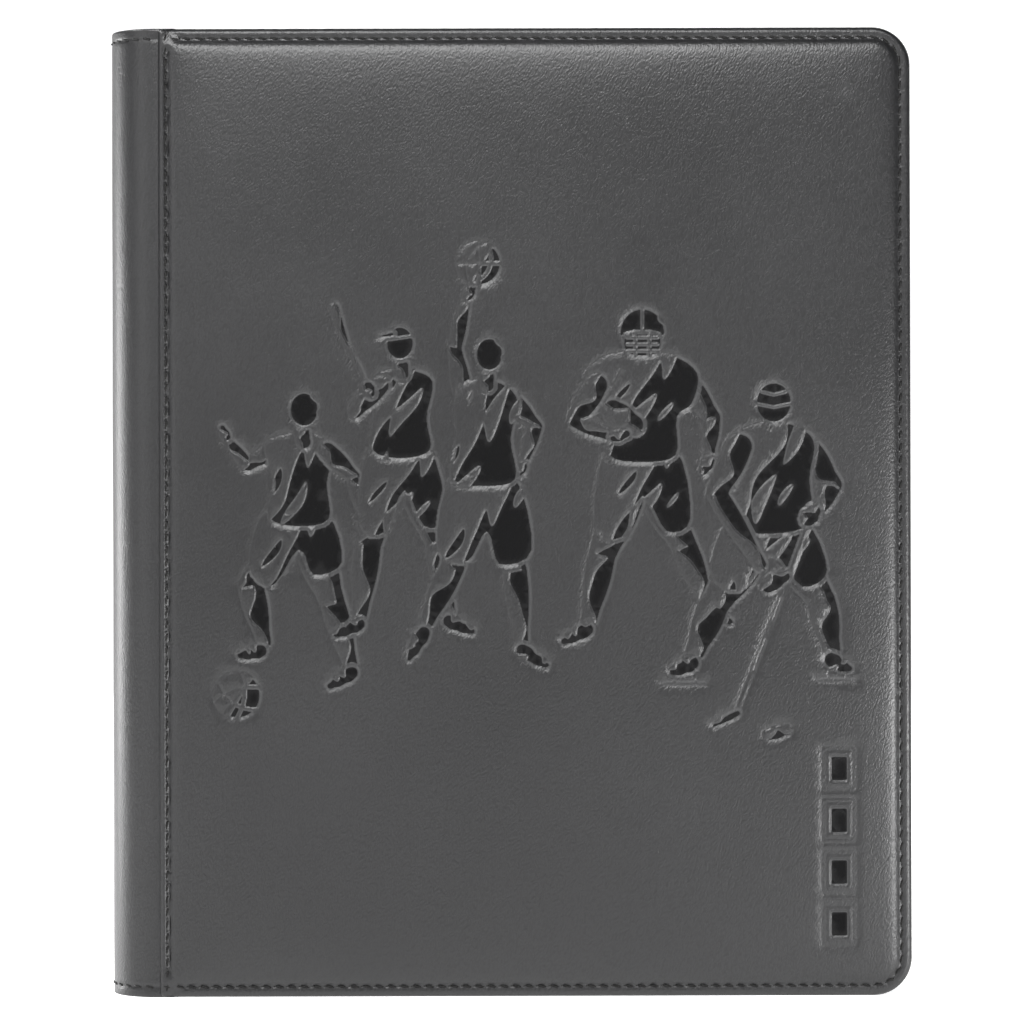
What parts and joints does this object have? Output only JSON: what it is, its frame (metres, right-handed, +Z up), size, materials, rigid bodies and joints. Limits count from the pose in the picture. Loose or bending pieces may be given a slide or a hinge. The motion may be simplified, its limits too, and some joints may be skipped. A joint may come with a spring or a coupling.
{
  "type": "trading card binder",
  "caption": "Zip-around trading card binder with a padded leatherette case, round spine and fixed pocket pages that fan open as the cover turns.",
  "frame": {"origin": "middle of the base of the standing binder", "axes": "+Z up along the spine, +X from the spine to the fore-edge, -Y out of the front cover"},
  "size_m": [0.2738, 0.04, 0.33],
  "materials": {
    "leatherette": "semi-matt, pebbled",
    "foam": "matt",
    "board": "matt",
    "lining_cloth": "matt, woven",
    "thread": "waxed",
    "zip_tape": "matt, woven",
    "zip_coil": "semi-matt",
    "zip_metal": "satin",
    "page_film": "glossy clear film over black film",
    "binding_film": "satin"
  },
  "bodies": {
    "back_cover": {"back_skin": "leatherette", "back_foam_pad": "foam", "back_board": "board", "back_lining": "lining_cloth", "back_wrap_flap": "leatherette", "back_edge_thread": "thread", "back_seam_thread": "thread", "back_zip_tape": "zip_tape", "back_top_stop": "zip_metal", "back_flap_threads": "thread", "back_zip_coil": "zip_coil", "zip_bottom_stop": "zip_metal"},
    "spine": {"spine_wrap": "leatherette", "spine_board": "board", "spine_core": "foam", "spine_end_threads": "thread", "page_binding_strip": "binding_film", "page_hinge_films": "binding_film"},
    "front_cover": {"front_skin": "leatherette", "front_foam_pad": "foam", "front_board": "board", "front_lining": "lining_cloth", "front_wrap_flap": "leatherette", "front_edge_thread": "thread", "front_seam_thread": "thread", "front_zip_tape": "zip_tape", "front_top_stop": "zip_metal", "front_flap_threads": "thread", "front_zip_coil": "zip_coil"},
    "leaf_01": {"page_01": "page_film"},
    "leaf_02": {"page_02": "page_film"},
    "leaf_03": {"page_03": "page_film"},
    "leaf_04": {"page_04": "page_film"},
    "leaf_05": {"page_05": "page_film"},
    "leaf_06": {"page_06": "page_film"},
    "leaf_07": {"page_07": "page_film"},
    "leaf_08": {"page_08": "page_film"},
    "leaf_09": {"page_09": "page_film"},
    "leaf_10": {"page_10": "page_film"},
    "leaf_11": {"page_11": "page_film"},
    "leaf_12": {"page_12": "page_film"},
    "leaf_13": {"page_13": "page_film"},
    "leaf_14": {"page_14": "page_film"},
    "leaf_15": {"page_15": "page_film"},
    "leaf_16": {"page_16": "page_film"},
    "leaf_17": {"page_17": "page_film"},
    "leaf_18": {"page_18": "page_film"},
    "leaf_19": {"page_19": "page_film"},
    "leaf_20": {"page_20": "page_film"},
    "zip_slider": {"slider_body": "zip_metal", "slider_bail": "zip_metal"},
    "pull": {"pull_tab": "zip_metal"}
  },
  "joints": [
    {"name": "cover_fold", "type": "hinge", "parent": "back_cover", "child": "spine", "pos_m": [-0.13075, 0.01281, 0], "axis": [0, 0, -1], "range_deg": [0, 90], "deforming": ["page_hinge_films", "front_zip_coil", "back_zip_coil"]},
    {"name": "front_hinge", "type": "hinge", "parent": "spine", "child": "front_cover", "pos_m": [-0.13075, -0.01281, 0], "axis": [0, 0, -1], "range_deg": [0, 90]},
    {"name": "leaf_01_turn", "type": "hinge", "parent": "spine", "child": "leaf_01", "pos_m": [-0.12616, 0.00821, 0], "axis": [0, 0, -1], "range_deg": [-90.01, 0]},
    {"name": "leaf_02_turn", "type": "hinge", "parent": "spine", "child": "leaf_02", "pos_m": [-0.12615, 0.00821, 0], "axis": [0, 0, -1], "range_deg": [-89.73, 0]},
    {"name": "leaf_03_turn", "type": "hinge", "parent": "spine", "child": "leaf_03", "pos_m": [-0.1259, 0.00795, 0], "axis": [0, 0, -1], "range_deg": [-89.45, 0]},
    {"name": "leaf_04_turn", "type": "hinge", "parent": "spine", "child": "leaf_04", "pos_m": [-0.12547, 0.00753, 0], "axis": [0, 0, -1], "range_deg": [-89.17, 0]},
    {"name": "leaf_05_turn", "type": "hinge", "parent": "spine", "child": "leaf_05", "pos_m": [-0.12492, 0.00697, 0], "axis": [0, 0, -1], "range_deg": [-88.89, 0]},
    {"name": "leaf_06_turn", "type": "hinge", "parent": "spine", "child": "leaf_06", "pos_m": [-0.12424, 0.0063, 0], "axis": [0, 0, -1], "range_deg": [-88.61, 0]},
    {"name": "leaf_07_turn", "type": "hinge", "parent": "spine", "child": "leaf_07", "pos_m": [-0.12344, 0.00549, 0], "axis": [0, 0, -1], "range_deg": [-88.33, 0]},
    {"name": "leaf_08_turn", "type": "hinge", "parent": "spine", "child": "leaf_08", "pos_m": [-0.12249, 0.00454, 0], "axis": [0, 0, -1], "range_deg": [-88.05, 0]},
    {"name": "leaf_09_turn", "type": "hinge", "parent": "spine", "child": "leaf_09", "pos_m": [-0.12134, 0.0034, 0], "axis": [0, 0, -1], "range_deg": [-87.77, 0]},
    {"name": "leaf_10_turn", "type": "hinge", "parent": "spine", "child": "leaf_10", "pos_m": [-0.11984, 0.00189, 0], "axis": [0, 0, -1], "range_deg": [-87.49, 0]},
    {"name": "leaf_11_turn", "type": "hinge", "parent": "spine", "child": "leaf_11", "pos_m": [-0.11984, -0.00189, 0], "axis": [0, 0, -1], "range_deg": [0, 87.49]},
    {"name": "leaf_12_turn", "type": "hinge", "parent": "spine", "child": "leaf_12", "pos_m": [-0.12134, -0.0034, 0], "axis": [0, 0, -1], "range_deg": [0, 87.77]},
    {"name": "leaf_13_turn", "type": "hinge", "parent": "spine", "child": "leaf_13", "pos_m": [-0.12249, -0.00454, 0], "axis": [0, 0, -1], "range_deg": [0, 88.05]},
    {"name": "leaf_14_turn", "type": "hinge", "parent": "spine", "child": "leaf_14", "pos_m": [-0.12344, -0.00549, 0], "axis": [0, 0, -1], "range_deg": [0, 88.33]},
    {"name": "leaf_15_turn", "type": "hinge", "parent": "spine", "child": "leaf_15", "pos_m": [-0.12424, -0.0063, 0], "axis": [0, 0, -1], "range_deg": [0, 88.61]},
    {"name": "leaf_16_turn", "type": "hinge", "parent": "spine", "child": "leaf_16", "pos_m": [-0.12492, -0.00697, 0], "axis": [0, 0, -1], "range_deg": [0, 88.89]},
    {"name": "leaf_17_turn", "type": "hinge", "parent": "spine", "child": "leaf_17", "pos_m": [-0.12547, -0.00753, 0], "axis": [0, 0, -1], "range_deg": [0, 89.17]},
    {"name": "leaf_18_turn", "type": "hinge", "parent": "spine", "child": "leaf_18", "pos_m": [-0.1259, -0.00795, 0], "axis": [0, 0, -1], "range_deg": [0, 89.45]},
    {"name": "leaf_19_turn", "type": "hinge", "parent": "spine", "child": "leaf_19", "pos_m": [-0.12615, -0.00821, 0], "axis": [0, 0, -1], "range_deg": [0, 89.73]},
    {"name": "leaf_20_turn", "type": "hinge", "parent": "spine", "child": "leaf_20", "pos_m": [-0.12616, -0.00821, 0], "axis": [0, 0, -1], "range_deg": [0, 90.01]},
    {"name": "zip_slider_travel", "type": "slide", "parent": "back_cover", "child": "zip_slider", "axis": [1, 0, 0], "range_m": [0, 0.2125]},
    {"name": "pull_tab_swing", "type": "hinge", "parent": "zip_slider", "child": "pull", "pos_m": [-0.09675, 0, 0.327], "axis": [0, -1, 0], "range_deg": [0, 170]}
  ],
  "couplings": [
    {"joint": "front_hinge", "follows": "cover_fold", "ratio": 1},
    {"joint": "leaf_01_turn", "follows": "cover_fold", "ratio": -1},
    {"joint": "leaf_02_turn", "follows": "cover_fold", "ratio": -0.99689},
    {"joint": "leaf_03_turn", "follows": "cover_fold", "ratio": -0.99378},
    {"joint": "leaf_04_turn", "follows": "cover_fold", "ratio": -0.99067},
    {"joint": "leaf_05_turn", "follows": "cover_fold", "ratio": -0.98756},
    {"joint": "leaf_06_turn", "follows": "cover_fold", "ratio": -0.98444},
    {"joint": "leaf_07_turn", "follows": "cover_fold", "ratio": -0.98133},
    {"joint": "leaf_08_turn", "follows": "cover_fold", "ratio": -0.97822},
    {"joint": "leaf_09_turn", "follows": "cover_fold", "ratio": -0.97511},
    {"joint": "leaf_10_turn", "follows": "cover_fold", "ratio": -0.972},
    {"joint": "leaf_11_turn", "follows": "cover_fold", "ratio": 0.972},
    {"joint": "leaf_12_turn", "follows": "cover_fold", "ratio": 0.97511},
    {"joint": "leaf_13_turn", "follows": "cover_fold", "ratio": 0.97822},
    {"joint": "leaf_14_turn", "follows": "cover_fold", "ratio": 0.98133},
    {"joint": "leaf_15_turn", "follows": "cover_fold", "ratio": 0.98444},
    {"joint": "leaf_16_turn", "follows": "cover_fold", "ratio": 0.98756},
    {"joint": "leaf_17_turn", "follows": "cover_fold", "ratio": 0.99067},
    {"joint": "leaf_18_turn", "follows": "cover_fold", "ratio": 0.99378},
    {"joint": "leaf_19_turn", "follows": "cover_fold", "ratio": 0.99689},
    {"joint": "leaf_20_turn", "follows": "cover_fold", "ratio": 1}
  ]
}
